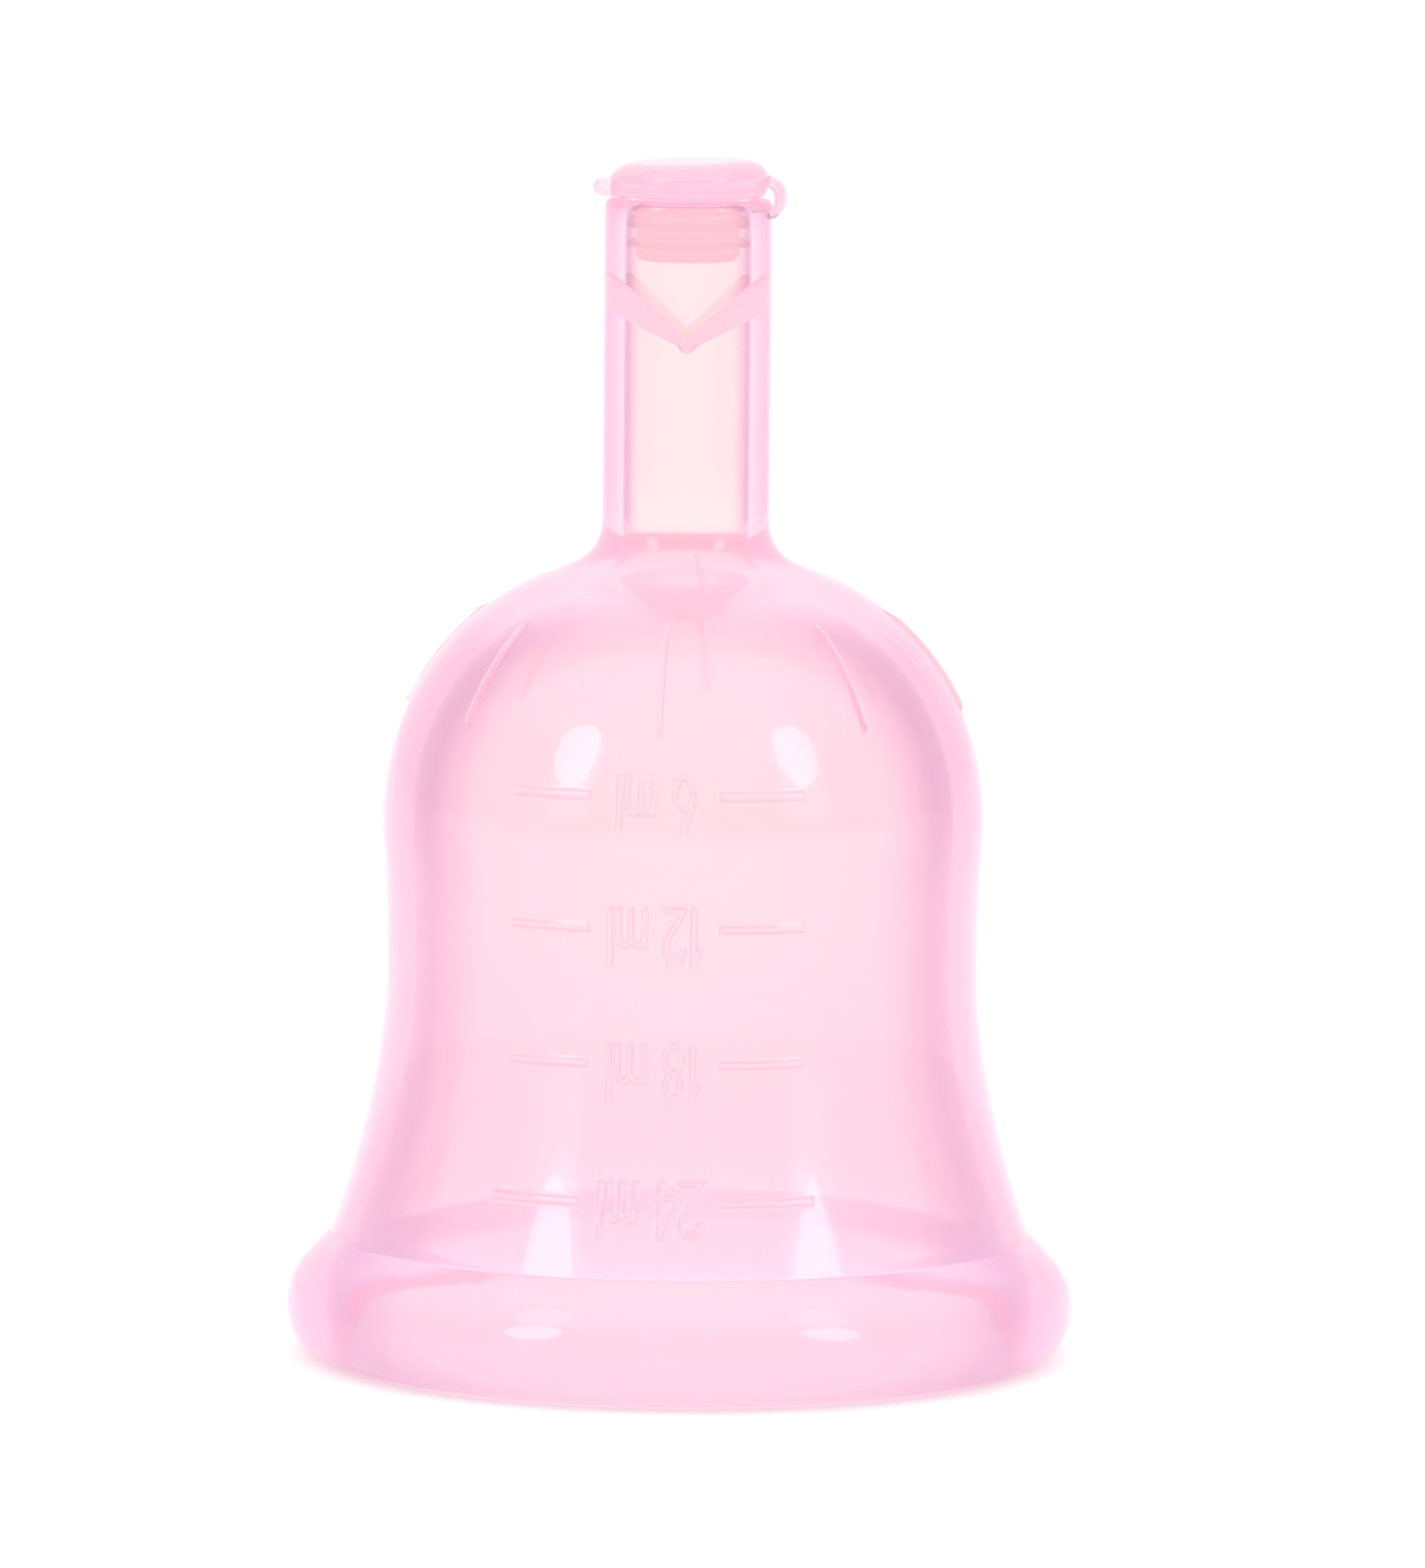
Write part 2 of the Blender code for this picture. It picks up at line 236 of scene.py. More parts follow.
def outline_normals(outline):
    """Unit normals of a closed outline that runs anticlockwise."""
    tangent = np.roll(outline, -1, axis=0) - np.roll(outline, 1, axis=0)
    normal = np.column_stack([tangent[:, 1], -tangent[:, 0]])
    return normal / np.linalg.norm(normal, axis=1)[:, None]


# ---------------------------------------------------------------- meshes
def make_object(name, verts, faces, material):
    """A mesh object from millimetre points."""
    mesh = bpy.data.meshes.new(name)
    mesh.from_pydata((np.asarray(verts) * MM).tolist(), [], faces)
    mesh.materials.append(material)
    mesh.update()
    obj = bpy.data.objects.new(name, mesh)
    bpy.context.scene.collection.objects.link(obj)
    return obj


def mark(obj, name, domain, values):
    """Keep one number per point or face, for the material to read."""
    obj.data.attributes.new(name, "FLOAT", domain).data.foreach_set("value", np.ravel(values).astype(float))


def ring_faces(rows, columns, closed_rows=True, closed_columns=True):
    """Quads of a grid of rows by columns, facing out when rows rise and columns turn anticlockwise."""
    i = np.arange(rows if closed_rows else rows - 1)
    j = np.arange(columns if closed_columns else columns - 1)
    i, j = (grid.ravel() for grid in np.meshgrid(i, j, indexing="ij"))
    i_next, j_next = (i + 1) % rows, (j + 1) % columns
    corners = [i * columns + j, i * columns + j_next, i_next * columns + j_next, i_next * columns + j]
    return np.column_stack(corners).tolist()


def smooth(value):
    """0 to 1 with soft ends."""
    share = np.clip(value, 0, 1)
    return share * share * (3 - 2 * share)


# ---------------------------------------------------------------- raised numerals
def arc(centre, size, start, end, steps=10):
    """Points on an ellipse between two angles in degrees."""
    return [
        (centre[0] + size[0] * math.cos(math.radians(a)), centre[1] + size[1] * math.sin(math.radians(a)))
        for a in np.linspace(start, end, steps + 1)
    ]


# Each glyph: how far the next one starts, and its strokes with the baseline at 0 and the height at 1.
GLYPHS = {
    "1": (0.95, [[(0.1, 0.78), (0.45, 1.0), (0.45, 0.0)]]),
    "2": (1.5, [arc((0.58, 0.72), (0.5, 0.28), 165, -35) + [(0.08, 0.0), (1.12, 0.0)]]),
    "4": (1.5, [[(0.85, 0.0), (0.85, 1.0), (0.05, 0.27), (1.15, 0.27)]]),
    "6": (1.5, [arc((0.6, 0.3), (0.5, 0.3), 0, 360, 20), arc((0.95, 0.3), (0.85, 0.7), 180, 97)]),
    "8": (1.5, [arc((0.6, 0.26), (0.5, 0.26), 0, 360, 20), arc((0.6, 0.76), (0.42, 0.24), 0, 360, 20)]),
    "m": (
        1.95,
        [
            [(0.08, 0.0), (0.08, 0.7)],
            arc((0.46, 0.5), (0.38, 0.2), 180, 0) + [(0.84, 0.0)],
            arc((1.22, 0.5), (0.38, 0.2), 180, 0) + [(1.6, 0.0)],
        ],
    ),
    "l": (0.35, [[(0.12, 0.0), (0.12, 1.0)]]),
    " ": (0.75, []),
}


def stroke_distance(across, up, text):
    """Distance from each point to the nearest stroke of a centred line of text."""
    nearest = np.full(across.shape, 9.0)
    start = -sum(GLYPHS[letter][0] for letter in text) / 2
    for letter in text:
        advance, strokes = GLYPHS[letter]
        for stroke in strokes:
            for (x0, y0), (x1, y1) in zip(stroke, stroke[1:]):
                ax, ay = start + x0, y0 * TEXT_TALL
                dx, dy = x1 - x0, (y1 - y0) * TEXT_TALL
                share = ((across - ax) * dx + (up - ay) * dy) / (dx * dx + dy * dy)
                share = np.clip(share, 0, 1)
                gap = np.hypot(across - ax - share * dx, up - ay - share * dy)
                nearest = np.minimum(nearest, gap)
        start += advance
    return nearest


def turn_from(azimuth, centre):
    """Signed degrees from centre to each azimuth, by the short way."""
    return (azimuth - centre + 180) % 360 - 180


def relief(azimuth, radius, height):
    """How far the cup's outside stands proud of its plain outline, and how much painted shade each point takes
    as a flank of the relief.
    """
    raised = np.zeros(azimuth.shape)
    turn = turn_from(azimuth, MARK_AZIMUTH)
    across = np.radians(turn) * radius
    for text, bar_z in MARKS.items():
        beside = np.minimum(np.abs(turn) - MARK_NEAR, MARK_FAR - np.abs(turn))
        inside = np.minimum(np.radians(beside) * radius, MARK_TALL / 2 - np.abs(height - bar_z))
        raised = np.maximum(raised, smooth(inside / EDGE_SOFTNESS + 0.5))
        near = (np.abs(turn) < MARK_NEAR + 2) & (np.abs(height - bar_z) < TEXT_TALL)
        up = bar_z + TEXT_BASE_ABOVE_BAR - height[near]
        gap = stroke_distance(-across[near], up, text)
        raised[near] = np.maximum(raised[near], smooth((STROKE / 2 - gap) / EDGE_SOFTNESS + 0.5))
    # The flank share is painted shade: most where the relief is half risen, on its sides.
    flank_shade = 4 * raised * (1 - raised)
    raised *= MARK_RAISED
    for index in range(RIDGE_COUNT):
        turn = turn_from(azimuth, RIDGE_FIRST + 360 / RIDGE_COUNT * index)
        side = (RIDGE_HALF_TURN - np.abs(turn)) / RIDGE_EDGE_TURN
        end = np.minimum(height - RIDGE_LOW_Z, (RIDGE_HIGH_Z - height) * RIDGE_TOP_SLOPE)
        ridge = smooth(side + 0.5) * smooth(end / RIDGE_FADE)
        raised = np.maximum(raised, ridge * RIDGE_HEIGHT)
        flank_shade = np.maximum(flank_shade, RIDGE_FLANK_SHADE * 4 * ridge * (1 - ridge))
    return raised, flank_shade


# ---------------------------------------------------------------- the cup's shell
def column_turns():
    """Azimuths of the shell's columns in degrees, close together where there is relief."""
    turns = list(np.arange(0, 360, COLUMN_TURN))
    turns += list(np.arange(-NUMERAL_REACH, NUMERAL_REACH + 0.1, NUMERAL_TURN) + MARK_AZIMUTH)
    for end in (-MARK_FAR, -MARK_NEAR, MARK_NEAR, MARK_FAR):
        turns += [MARK_AZIMUTH + end + offset for offset in BAR_END_TURNS]
    slit_turn = math.degrees(math.asin(SLIT_HALF / BORE_R))
    fixed = [90 - slit_turn, 90 + slit_turn, 270 - slit_turn, 270 + slit_turn]
    edge = RIDGE_EDGE_TURN * np.array([-0.5, -0.25, 0.25, 0.5])
    for index in range(RIDGE_COUNT):
        middle = RIDGE_FIRST + 360 / RIDGE_COUNT * index
        turns += [middle + offset for offset in RIDGE_TURNS]
        fixed += [*(middle + RIDGE_HALF_TURN + edge), *(middle - RIDGE_HALF_TURN + edge)]
    kept = []
    for turn in sorted(t % 360 for t in turns):
        if all(abs(turn_from(turn, other)) > LEAST_TURN for other in fixed + kept[-1:]):
            kept.append(turn)
    return np.array(sorted(kept + [turn % 360 for turn in fixed]))


def outer_spacing(height):
    """Distance between the shell's outer rows, small where there is relief or a sharp turn."""
    if any(bar - 2.35 < height < bar + 1.5 for bar in MARKS.values()):
        return FINE_ROW
    if abs(height - CREASE[1]) < 0.35:
        return 0.08
    if abs(height - RIDGE_LOW_Z) < 0.5 or abs(height - RIDGE_HIGH_Z + 0.5) < 0.8:
        return 0.15
    return 0.4 if height < CREASE[1] or height > SHOULDER[1] - 3 else 0.9


def inner_spacing(height):
    """Distance between the shell's inner rows."""
    return 0.45 if height < CREASE[1] + 0.5 or height > SHOULDER_IN[1] - 1.5 else 1.1


def lip_top(across):
    """Height of a lip's upper face at a distance from the slit's plane."""
    return SLIT_TOP_Z + (LIP_ROOT_TOP - SLIT_TOP_Z) * (across - SLIT_HALF) / (BORE_R - SLIT_HALF)


def lip_low(across):
    """Height of a lip's lower face, with the round bead along the slit."""
    edge = SLIT_HALF + TIP_BEAD
    slope = SLIT_LOW_Z + (LIP_ROOT_LOW - SLIT_LOW_Z) * (across - edge) / (BORE_R - edge)
    bead = SLIT_LOW_Z - np.sqrt(np.clip(TIP_BEAD**2 - (across - SLIT_HALF) ** 2, 0, None))
    return np.where(across < edge, bead, slope)


def shell_outline():
    """Rows of the shell's closed outline, anticlockwise, and the index of its first bore row."""
    outside = [REST_OUT] + stretch(REST_OUT, (1.2, 0), BULGE, (0, -1.7))
    outside += stretch(BULGE, (0, 1.9), CREASE, (1.6, -1.85))
    outside += stretch(CREASE, (-0.9, 2.3), WAIST, (0, -5.5))
    outside += stretch(WAIST, (0, 7.4), DOME, (0, -1.1))
    outside += stretch(DOME, (0, 6.9), SHOULDER, (6.6, -2.25))
    outside += stretch(SHOULDER, (-1.3, 0.45), (STEM_R, STEM_ROOT_Z), (0, -1.9))
    rows = walk(outside, outer_spacing)
    stem = [(STEM_R, z) for z in (52.0, 56.0, 60.0, 64.0, 66.5, STEM_TOP_Z - STEM_EDGE - 0.1)]
    stem += quarter((STEM_R - STEM_EDGE, STEM_TOP_Z - STEM_EDGE), (STEM_EDGE, STEM_EDGE), 0, 6)
    stem += [(BORE_R + MOUTH + 0.05, STEM_TOP_Z), (BORE_R + MOUTH, STEM_TOP_Z - 0.03)]
    stem += [(BORE_R + 0.03, STEM_TOP_Z - MOUTH), (BORE_R, STEM_TOP_Z - MOUTH - 0.08), (BORE_R, 65.5)]
    bore = [(BORE_R, z) for z in (64.4, 63.9, 63.4, 63.0, 62.5, 62.0, 61.5, 60.5, 59.5, 58.3, 56.0, 53.0, 50.0)]
    first_bore = len(rows) + len(stem)
    inside = [(BORE_R, BORE_FOOT_Z)] + stretch((BORE_R, BORE_FOOT_Z), (0, -2.0), SHOULDER_IN, (-1.7, 0.7))
    inside += stretch(SHOULDER_IN, (5.6, -1.95), DOME_IN, (0, 6.2))
    inside += stretch(DOME_IN, (0, -1.1), WAIST_IN, (0, 7.4))
    inside += stretch(WAIST_IN, (0, -5.5), CREASE_IN, (-1.1, 2.6))
    inside += stretch(CREASE_IN, (0.9, -1.5), GROOVE, (0, 1.6))
    inside += stretch(GROOVE, (0, -1.2), LIP, (1.1, 0.4)) + [REST_IN]
    floor = [(20.1, 0.0), (20.5, 0.0)]
    loop = np.vstack([rows, stem, bore, walk(inside, inner_spacing), floor])
    return loop, len(rows), first_bore


def bend_bore_rows(heights, azimuth, first_bore):
    """Let the bore's rows follow the lips' roots: three rows above, four across and three below.

    Returns the rows that bound the bonded faces.
    """
    across = np.clip(np.abs(BORE_R * np.cos(np.radians(azimuth))), SLIT_HALF, None)
    top, low = lip_top(across), lip_low(across)
    above, below = heights[first_bore], heights[first_bore + 9]
    for step, share in enumerate(BOND_SHARES[:3]):
        heights[first_bore + step] = above + (top - above) * share
    for step, share in enumerate(BOND_SHARES):
        heights[first_bore + 3 + step] = top + (low - top) * share
    for step, share in enumerate(BOND_SHARES[1:]):
        heights[first_bore + 7 + step] = low + (below - low) * share
    return first_bore + 3, first_bore + 6


def build_shell(material):
    """The cup's moulding with its ridges, bars and numerals, from rim to stem."""
    outline, outer_rows, first_bore = shell_outline()
    azimuth = column_turns()
    normal = outline_normals(outline)
    radius = np.repeat(outline[:, :1], len(azimuth), axis=1)
    height = np.repeat(outline[:, 1:], len(azimuth), axis=1)
    turns = np.repeat(azimuth[None], len(outline), axis=0)
    raised, flank_shade = np.zeros_like(radius), np.zeros_like(radius)
    outer = slice(0, outer_rows)
    raised[outer], flank_shade[outer] = relief(turns[outer], radius[outer], height[outer])
    bond_top, bond_low = bend_bore_rows(height, azimuth, first_bore)
    radius = radius + raised * normal[:, :1]
    height = height + raised * normal[:, 1:]
    turn = np.radians(turns)
    points = np.stack([radius * np.cos(turn), radius * np.sin(turn), height], axis=-1)
    faces = ring_faces(len(outline), len(azimuth))
    on_lip = np.abs(BORE_R * np.cos(np.radians((azimuth + np.roll(azimuth, -1)) / 2))) > SLIT_HALF
    on_lip[-1] = True  # the last face closes the circle, far from the slit
    bonded = np.zeros((len(outline), len(azimuth)))
    bonded[bond_top:bond_low] = on_lip
    shell = make_object("cup_shell", points.reshape(-1, 3), faces, material)
    mark(shell, "bonded", "FACE", bonded)
    # The share of painted flank shade at each point, for the material to read.
    mark(shell, "flank_shade", "POINT", flank_shade)
    return shell


# ---------------------------------------------------------------- the duckbill's lips
def build_lip(name, side, material):
    """One lip, whose root shares its points with the shell's bore. side is -1 on the left."""
    azimuth = column_turns()
    toward = side * np.cos(np.radians(azimuth)) * BORE_R
    azimuth = azimuth[toward > SLIT_HALF - 1e-6]
    azimuth = azimuth[np.argsort(turn_from(azimuth, 0 if side > 0 else 180))]
    wall = np.abs(BORE_R * np.cos(np.radians(azimuth)))
    y = BORE_R * np.sin(np.radians(azimuth))
    loop = []
    for share in BOND_SHARES:
        loop.append((wall, lip_low(wall) + (lip_top(wall) - lip_low(wall)) * share))
    for share in (0.12, 0.35, 0.65, 0.9, 0.97):
        across = wall + (SLIT_HALF - wall) * share
        loop.append((across, lip_top(across)))
    slit = np.full_like(wall, SLIT_HALF)
    for share in BOND_SHARES[::-1]:
        loop.append((slit, lip_low(slit) + (lip_top(slit) - lip_low(slit)) * share))
    for share in (0.02, 0.045, 0.07, 0.09, 0.105, 0.13, 0.3, 0.6, 0.9):
        across = slit + (wall - slit) * share
        loop.append((across, lip_low(across)))
    points = np.array([[side * across, y, z] for across, z in loop]).transpose(0, 2, 1)
    points[: len(BOND_SHARES), :, :2] *= 1 - BOND_GAP / BORE_R
    rows, columns = points.shape[:2]
    faces = ring_faces(rows, columns, closed_columns=False)
    bonded = np.zeros((rows, columns - 1))
    bonded[: len(BOND_SHARES) - 1] = 1
    lip = make_object(name, points.reshape(-1, 3), faces, material)
    mark(lip, "bonded", "FACE", bonded)
    return lip


# ---------------------------------------------------------------- the stopper
def build_stopper(material):
    """Head, insert and two sealing beads in one moulding, with the pull tab drawn out of the head."""
    low = [(0.0, PLUG_Z), (1.4, PLUG_Z), (2.4, PLUG_Z)]
    low += quarter((PLUG_R - 0.4, PLUG_Z + 0.4), (0.4, 0.4), -90, 6)
    for z in BEAD_HEIGHTS:
        tip = (BEAD_R - BEAD_HALF, z)
        low += [(PLUG_R + out, z - BEAD_HALF - off) for off, out in BEAD_FOOT]
        low += quarter(tip, (BEAD_HALF, BEAD_HALF), -90, 4) + quarter(tip, (BEAD_HALF, BEAD_HALF), 0, 4)[1:]
        low += [(PLUG_R + out, z + BEAD_HALF + off) for off, out in BEAD_FOOT[::-1]]
    low += [(PLUG_R, 67.5), (PLUG_R + 0.03, 67.9), (PLUG_R + 0.2, 68.12), (PLUG_R + 0.4, HEAD_Z), (4.0, HEAD_Z)]
    plain = [(4.1, HEAD_Z)] + quarter((HEAD_R - 0.3, HEAD_Z + 0.3), (0.3, 0.3), -90)
    plain += [(HEAD_R, HEAD_SIDE_Z)]
    nose = (TAB_TOP_Z - HEAD_Z) / 2
    tongue = [(4.1, HEAD_Z)] + quarter((TAB_REACH - nose, HEAD_Z + nose), (nose, nose), -90)
    tongue += quarter((TAB_REACH - nose, HEAD_Z + nose), (nose, nose), 0) + [(HEAD_R - 0.05, HEAD_SIDE_Z + 0.2)]
    side_plain, side_tab = evenly(plain, 22), evenly(tongue, 22)
    high = quarter((HEAD_TOP_R, HEAD_SIDE_Z), (HEAD_R - HEAD_TOP_R, TOP_Z - HEAD_SIDE_Z), 0, 12)[1:]
    high += [(2.4, TOP_Z + 0.02), (1.3, TOP_Z + 0.03), (0.0, TOP_Z + 0.03)]
    azimuth = np.unique(np.concatenate([np.arange(0, 360, 4.0), np.arange(158, 203, 1.0)]))
    drawn = smooth((TAB_HALF_TURN + 1.5 - np.abs(turn_from(azimuth, 180))) / 3.0)
    rows = []
    for r, z in low:
        rows.append((np.full_like(azimuth, r), np.full_like(azimuth, z)))
    for (r0, z0), (r1, z1) in zip(side_plain, side_tab):
        rows.append((r0 + (r1 - r0) * drawn, z0 + (z1 - z0) * drawn))
    for r, z in high:
        rows.append((np.full_like(azimuth, r), np.full_like(azimuth, z)))
    turn = np.radians(azimuth)
    points = np.array([[r * np.cos(turn), r * np.sin(turn), z] for r, z in rows]).transpose(0, 2, 1)
    tilt = np.clip((points[..., 2] - HEAD_Z) / 0.6, 0, 1) * HEAD_TILT
    points[..., 2] += tilt * points[..., 0]
    faces = ring_faces(len(rows), len(azimuth), closed_rows=False)
    return make_object("stopper_body", points.reshape(-1, 3), faces, material)


def build_strap(material):
    """The living hinge: a thin band that bows out from the stem's wall and back into the head."""
    centre = (STEM_R - 0.06, HEAD_Z - 0.1)
    outer_size = (STRAP_REACH + STRAP_THICK, STRAP_RISE + STRAP_THICK)
    inner_size = (STRAP_REACH, STRAP_RISE)
    outer = quarter(centre, outer_size, -90, 10) + quarter(centre, outer_size, 0, 10)[1:]
    inner = quarter(centre, inner_size, -90, 10) + quarter(centre, inner_size, 0, 10)[1:]
    outline = np.array(outer + inner[::-1])
    middle = (outline + outline[::-1]) / 2
    turns = np.array([-1.0, -0.99, -0.96, -0.9, -0.8, -0.6, -0.3, 0.0, 0.3, 0.6, 0.8, 0.9, 0.96, 0.99, 1.0])
    points = []
    for turn in turns:
        full = math.sqrt(max(1 - abs(turn) ** 14, 0))
        r, z = (middle + (outline - middle) * full).T
        azimuth = math.radians(turn * STRAP_HALF_TURN)
        points.append(np.column_stack([r * math.cos(azimuth), r * math.sin(azimuth), z]))
    points = np.array(points).transpose(1, 0, 2)
    faces = ring_faces(len(outline), len(turns), closed_columns=False)
    return make_object("strap_hinge", points.reshape(-1, 3), faces, material)


def tidy_mesh(obj):
    """Merge coincident points, close any open ends and make the faces point outward."""
    bm = bmesh.new()
    bm.from_mesh(obj.data)
    bmesh.ops.remove_doubles(bm, verts=bm.verts, dist=0.0005 * MM)
    bmesh.ops.dissolve_degenerate(bm, edges=bm.edges, dist=0.0002 * MM)
    ends = [edge for edge in bm.edges if edge.is_boundary]
    if ends:
        bmesh.ops.holes_fill(bm, edges=ends)
    bmesh.ops.recalc_face_normals(bm, faces=bm.faces)
    bm.to_mesh(obj.data)
    bm.free()
    obj.data.shade_smooth()
    return obj


# ---------------------------------------------------------------- materials
def link(tree, source, output, target, socket):
    tree.links.new(source.outputs[output], target.inputs[socket])


def noise(tree, coords, scale, detail):
    node = tree.nodes.new("ShaderNodeTexNoise")
    node.inputs["Scale"].default_value = scale
    node.inputs["Detail"].default_value = detail
    link(tree, coords, "Object", node, "Vector")
    return node


def spread(tree, source, low, high):
    """A noise's value mapped to a range."""
    node = tree.nodes.new("ShaderNodeMapRange")
    node.inputs["From Min"].default_value = 0.3
    node.inputs["From Max"].default_value = 0.7
    node.inputs["To Min"].default_value = low
    node.inputs["To Max"].default_value = high
    link(tree, source, 0, node, "Value")
    return node


def tinted(tree, share, below, colour):
    """A node's colour multiplied by another colour, by a share that a node gives."""
    node = tree.nodes.new("ShaderNodeMix")
    node.data_type = "RGBA"
    node.blend_type = "MULTIPLY"
    link(tree, *share, node, 0)
    link(tree, *below, node, 6)
    node.inputs[7].default_value = (*colour, 1)
    return node


def product(tree, first, second):
    node = tree.nodes.new("ShaderNodeMath")
    node.operation = "MULTIPLY"
    link(tree, *first, node, 0)
    link(tree, *second, node, 1)
    return node


def ramp(tree, source, stops):
    """A node's value as a colour, with a stop at each place between 0 and 1."""
    node = tree.nodes.new("ShaderNodeValToRGB")
    elements = node.color_ramp.elements
    for element, (place, colour) in zip(elements, (stops[0], stops[-1])):
        element.position = place
        element.color = (*colour, 1)
    for place, colour in stops[1:-1]:
        elements.new(place).color = (*colour, 1)
    link(tree, *source, node, 0)
    return node


def silicone(name, roughness, lost, glow):
    """Clear rubber, faintly cloudy all through; the cloudiness is a painted glow. Its colour also carries
    painted light: tints by height, and painted shade on the relief's flanks and where a wall is seen on a
    slant.

    lost is the share of light that each millimetre takes away, and glow the colour that a very thick piece
    shows: a painted glow, light that the rubber's volume gives off of its own, which stands in for light
    scattered over and over inside and is given back evenly whatever the lamps do.
    """
    material = bpy.data.materials.new(name)
    material.use_nodes = True
    tree = material.node_tree
    shader = tree.nodes["Principled BSDF"]
    output = tree.nodes["Material Output"]
    coords = tree.nodes.new("ShaderNodeTexCoord")
    cloud = noise(tree, coords, 90, 2)
    grain = noise(tree, coords, 2600, 3)
    shader.inputs["IOR"].default_value = REFRACTION
    shader.inputs["Transmission Weight"].default_value = 1.0
    link(tree, spread(tree, cloud, roughness * 0.7, roughness * 1.3), 0, shader, "Roughness")
    split = tree.nodes.new("ShaderNodeSeparateXYZ")
    link(tree, coords, "Object", split, 0)
    height = tree.nodes.new("ShaderNodeMapRange")
    height.inputs["From Max"].default_value = TOP_Z * MM
    link(tree, split, "Z", height, "Value")
    # Painted light: the colour by height, for the differently lit surroundings seen through the rubber.
    plain = ramp(tree, (height, 0), [(z / TOP_Z, colour) for z, colour in HEIGHT_LIGHT_TINTS])
    # Painted shade along the flanks of the raised marks and ridges.
    flank_shade = tree.nodes.new("ShaderNodeAttribute")
    flank_shade.attribute_name = "flank_shade"
    flank_shaded = tinted(tree, (flank_shade, "Fac"), (plain, 0), FLANK_SHADE_TINT)
    # Painted shade where the inner face is seen on a slant, stronger at the heights that its share by height
    # gives.
    grazing = tree.nodes.new("ShaderNodeLayerWeight")
    slant = ramp(tree, (grazing, "Facing"), [(place, (share,) * 3) for place, share in EDGE_SHADE_SLANTS])
    inside = tree.nodes.new("ShaderNodeNewGeometry")
    reach = ramp(tree, (height, 0), [(z / TOP_Z, (share,) * 3) for z, share in EDGE_SHADE_HEIGHTS])
    slant_shade_share = product(tree, (slant, 0), (inside, "Backfacing"))
    edge = tinted(tree, (product(tree, (slant_shade_share, 0), (reach, 0)), 0), (flank_shaded, 2), EDGE_SHADE_TINT)
    link(tree, edge, 2, shader, "Base Color")
    bump = tree.nodes.new("ShaderNodeBump")
    bump.inputs["Strength"].default_value = 0.05
    bump.inputs["Distance"].default_value = 0.02 * MM
    link(tree, grain, 0, bump, "Height")
    link(tree, bump, 0, shader, "Normal")
    # Painted glow: the volume absorbs and also gives off light of its own in the glow colour, standing in for
    # light scattered inside; it scatters nothing.
    body = tree.nodes.new("ShaderNodeVolumeCoefficients")
    body.inputs["Scatter Coefficients"].default_value = (0, 0, 0)
    body.inputs["Absorption Coefficients"].default_value = [part / MM for part in lost]
    body.inputs["Emission Coefficients"].default_value = [part * g / MM for part, g in zip(lost, glow)]
    link(tree, body, 0, output, "Volume")
    bonded = tree.nodes.new("ShaderNodeAttribute")
    bonded.attribute_name = "bonded"
    clear = tree.nodes.new("ShaderNodeBsdfTransparent")
    surface = tree.nodes.new("ShaderNodeMixShader")
    link(tree, bonded, "Fac", surface, 0)
    link(tree, shader, 0, surface, 1)
    link(tree, clear, 0, surface, 2)
    link(tree, surface, 0, output, "Surface")
    return material


def light_table(name, colour, glow):
    """The floor: matt white, with the faintest mottling, and lit from beneath as well."""
    material = bpy.data.materials.new(name)
    material.use_nodes = True
    tree = material.node_tree
    shader = tree.nodes["Principled BSDF"]
    shader.inputs["Roughness"].default_value = 0.9
    shader.inputs["Specular IOR Level"].default_value = 0.0
    shader.inputs["Emission Color"].default_value = (1, 1, 1, 1)
    shader.inputs["Emission Strength"].default_value = glow
    coords = tree.nodes.new("ShaderNodeTexCoord")
    darker = tuple(part * 0.995 for part in colour)
    mottling = ramp(tree, (noise(tree, coords, 3, 2), 0), [(0.0, darker), (1.0, colour)])
    link(tree, mottling, 0, shader, "Base Color")
    return material


# ---------------------------------------------------------------- studio
def build_floor():
    count = 96
    turn = np.linspace(0, 2 * math.pi, count, endpoint=False)
    below = np.full(count, -0.02)
    rings = [np.column_stack([r * np.cos(turn), r * np.sin(turn), below]) for r in (0.01, 4000.0)]
    faces = [tuple(range(count))] + ring_faces(2, count, closed_rows=False)
    matt = light_table("floor_matt", FLOOR_COLOUR, FLOOR_GLOW)
    floor = make_object("studio_floor", np.vstack(rings), faces, matt)
    if floor.data.polygons[0].normal.z < 0:
        floor.data.flip_normals()


def softbox(name, shape, azimuth, elevation, width, height, strength):
    """An area light that faces the cup. Azimuth 0 is the side that the marks face."""
    light = bpy.data.lights.new(name, "AREA")
    light.shape = shape
    light.size = width
    light.size_y = height
    area = width * height * (math.pi / 4 if shape == "ELLIPSE" else 1)
    light.energy = strength * area * math.pi
    light.color = SOFTBOX_COLOUR
    obj = bpy.data.objects.new(name, light)
    a, e = math.radians(azimuth), math.radians(elevation)
    away = Vector((math.sin(a) * math.cos(e), -math.cos(a) * math.cos(e), math.sin(e)))
    obj.location = Vector((0, 0, 0.03)) + away * SOFTBOX_DISTANCE
    obj.rotation_euler = away.to_track_quat("Z", "Y").to_euler()
    obj.visible_camera = False
    obj.visible_diffuse = False
    bpy.context.scene.collection.objects.link(obj)


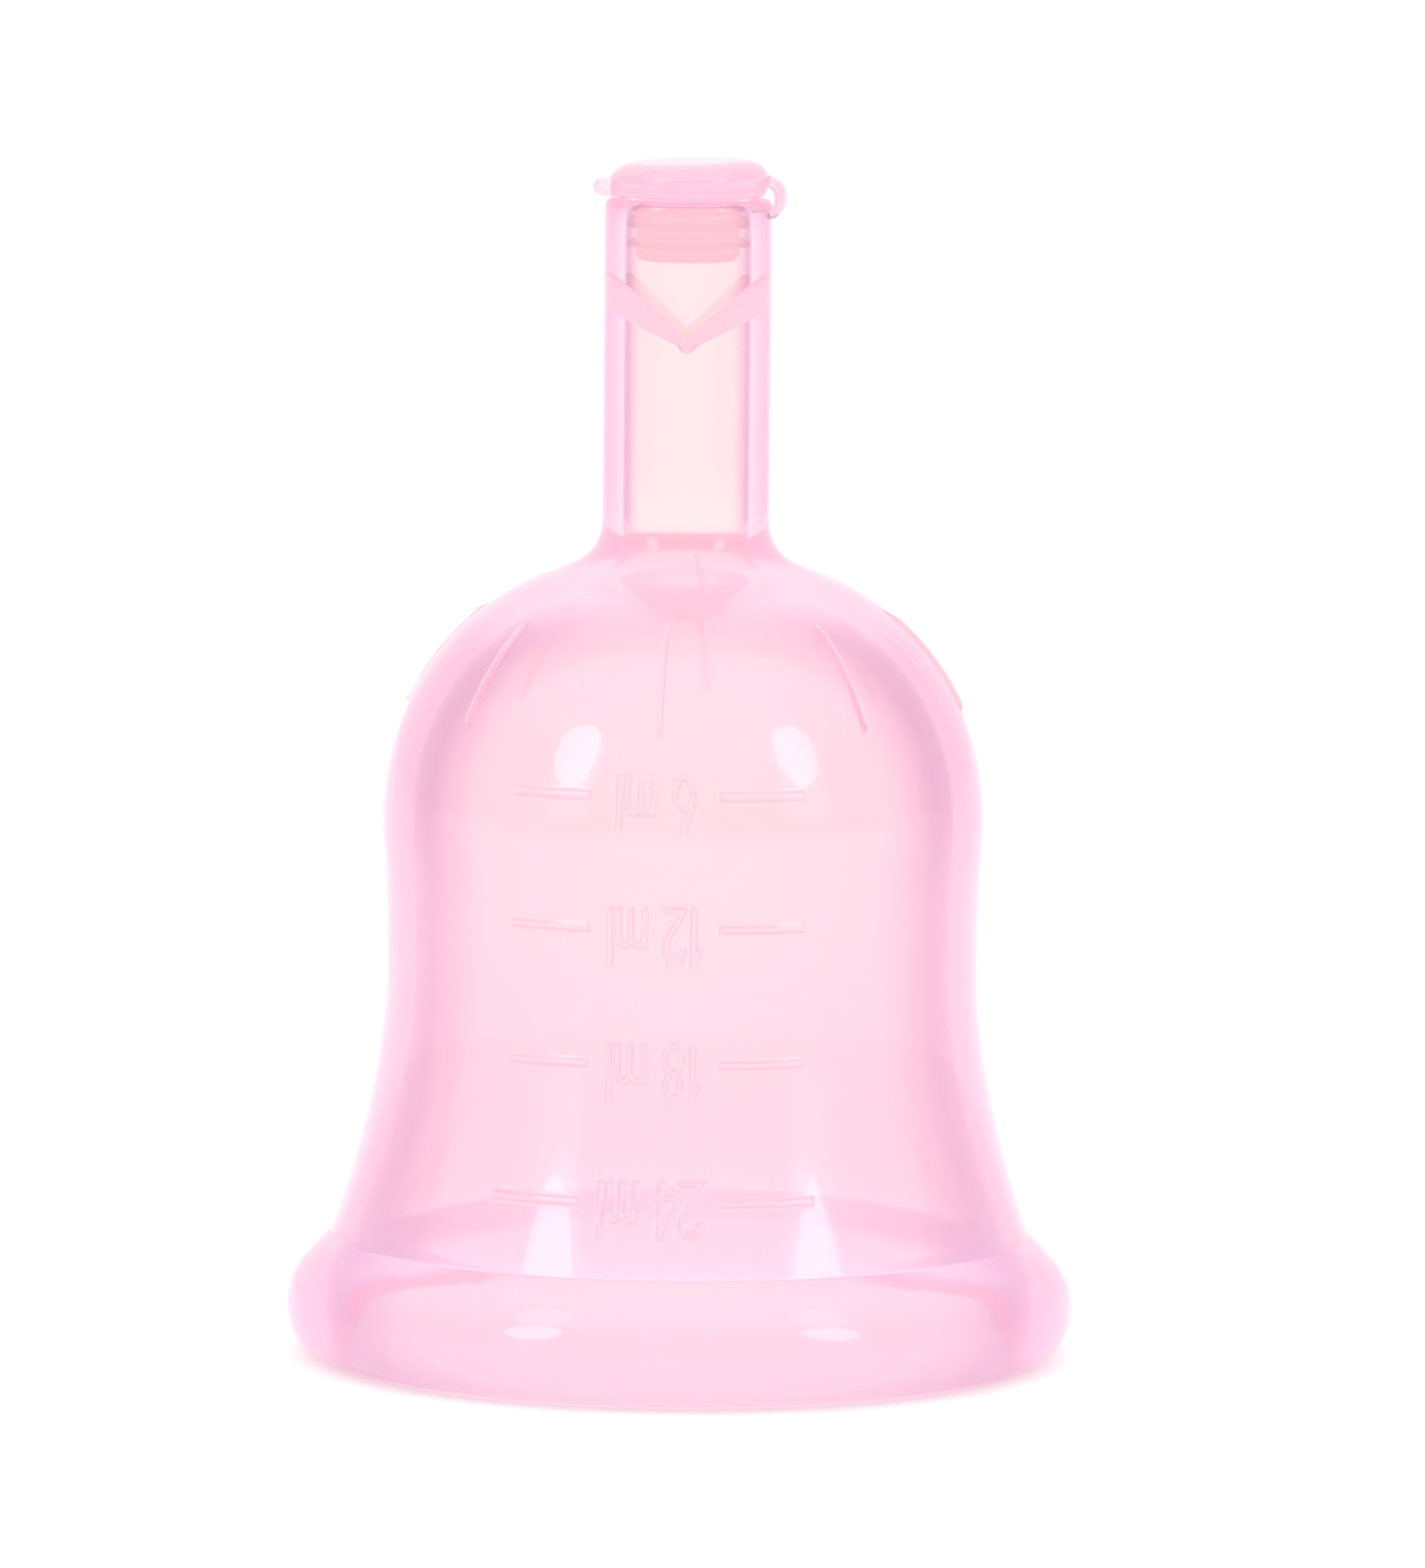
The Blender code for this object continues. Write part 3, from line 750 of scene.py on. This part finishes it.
def build_world():
    """White behind and above the cup, and greyer round the camera's side."""
    world = bpy.data.worlds.new("studio")
    bpy.context.scene.world = world
    world.use_nodes = True
    tree = world.node_tree
    coords = tree.nodes.new("ShaderNodeTexCoord")
    split = tree.nodes.new("ShaderNodeSeparateXYZ")
    link(tree, coords, "Generated", split, 0)
    parts = []
    fades = (("Y", -0.2, 0.75, SIDE_LIGHT, BACK_LIGHT), ("Z", 0.35, 0.9, 0.0, TOP_LIGHT))
    for axis, low, high, dim, bright in fades:
        fade = tree.nodes.new("ShaderNodeMapRange")
        fade.interpolation_type = "SMOOTHSTEP"
        fade.inputs["From Min"].default_value = low
        fade.inputs["From Max"].default_value = high
        fade.inputs["To Min"].default_value = dim
        fade.inputs["To Max"].default_value = bright
        link(tree, split, axis, fade, "Value")
        parts.append(fade)
    total = tree.nodes.new("ShaderNodeMath")
    total.operation = "ADD"
    link(tree, parts[0], 0, total, 0)
    link(tree, parts[1], 0, total, 1)
    link(tree, total, 0, tree.nodes["Background"], "Strength")
    tree.nodes["Background"].inputs["Color"].default_value = (1, 1, 1, 1)


def build_camera():
    """A long lens in front of the cup and a little above it."""
    data = bpy.data.cameras.new("camera")
    data.lens = LENS
    data.sensor_width = SENSOR
    data.shift_x, data.shift_y = (shift / FRAME_TALL for shift in SHIFT)
    data.clip_start = 0.05
    data.clip_end = 20
    camera = bpy.data.objects.new("camera", data)
    place = Vector(CAMERA_PLACE)
    aim = Vector(CAMERA_AIM) - place
    roll = Matrix.Rotation(math.radians(CAMERA_ROLL), 3, "Z")
    camera.location = place
    camera.rotation_euler = (aim.to_track_quat("-Z", "Y").to_matrix() @ roll).to_euler()
    bpy.context.scene.collection.objects.link(camera)
    bpy.context.scene.camera = camera


def build_studio():
    build_floor()
    build_world()
    for side, azimuth in SOFTBOX_SIDES:
        for part, shape, elevation, width, height, strength in SOFTBOX_PARTS:
            softbox(f"softbox_{side}{part}", shape, azimuth, elevation, width, height, strength)
    build_camera()
    scene = bpy.context.scene
    scene.view_settings.view_transform = "Standard"
    scene.cycles.max_bounces = 20
    scene.cycles.transmission_bounces = 20
    scene.cycles.transparent_max_bounces = 16


def build_pieces():
    cup = silicone("cup_rubber", ROUGHNESS["cup"], RUBBER_LOST, CUP_PAINTED_GLOW)
    valve = silicone("valve_rubber", ROUGHNESS["valve"], RUBBER_LOST, VALVE_PAINTED_GLOW)
    stopper = silicone("stopper_rubber", ROUGHNESS["stopper"], RUBBER_LOST, STOPPER_PAINTED_GLOW)

    shell = tidy_mesh(build_shell(cup))
    marks = [f"mark_{volume}_{side}" for volume in ("06", "12", "18", "24") for side in ("left", "right")]
    ridges = [f"grip_ridge_{index + 1}" for index in range(RIDGE_COUNT)]
    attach(shell, "cup")
    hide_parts("rim_ring", "bell_wall", "stem_collar", "drain_stem", *ridges, *marks)

    for name, side in (("left", -1), ("right", 1)):
        lip = tidy_mesh(build_lip(f"duckbill_{name}", side, valve))
        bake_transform(lip)
        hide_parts(f"valve_lip_{name}")

    body = tidy_mesh(build_stopper(stopper))
    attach(body, "stopper")
    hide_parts("stopper_head", "stopper_plug", "plug_seal_upper", "plug_seal_lower", "pull_tab")

    strap = tidy_mesh(build_strap(stopper))
    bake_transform(strap)
    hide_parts("tether_strap")


build_studio()
build_pieces()
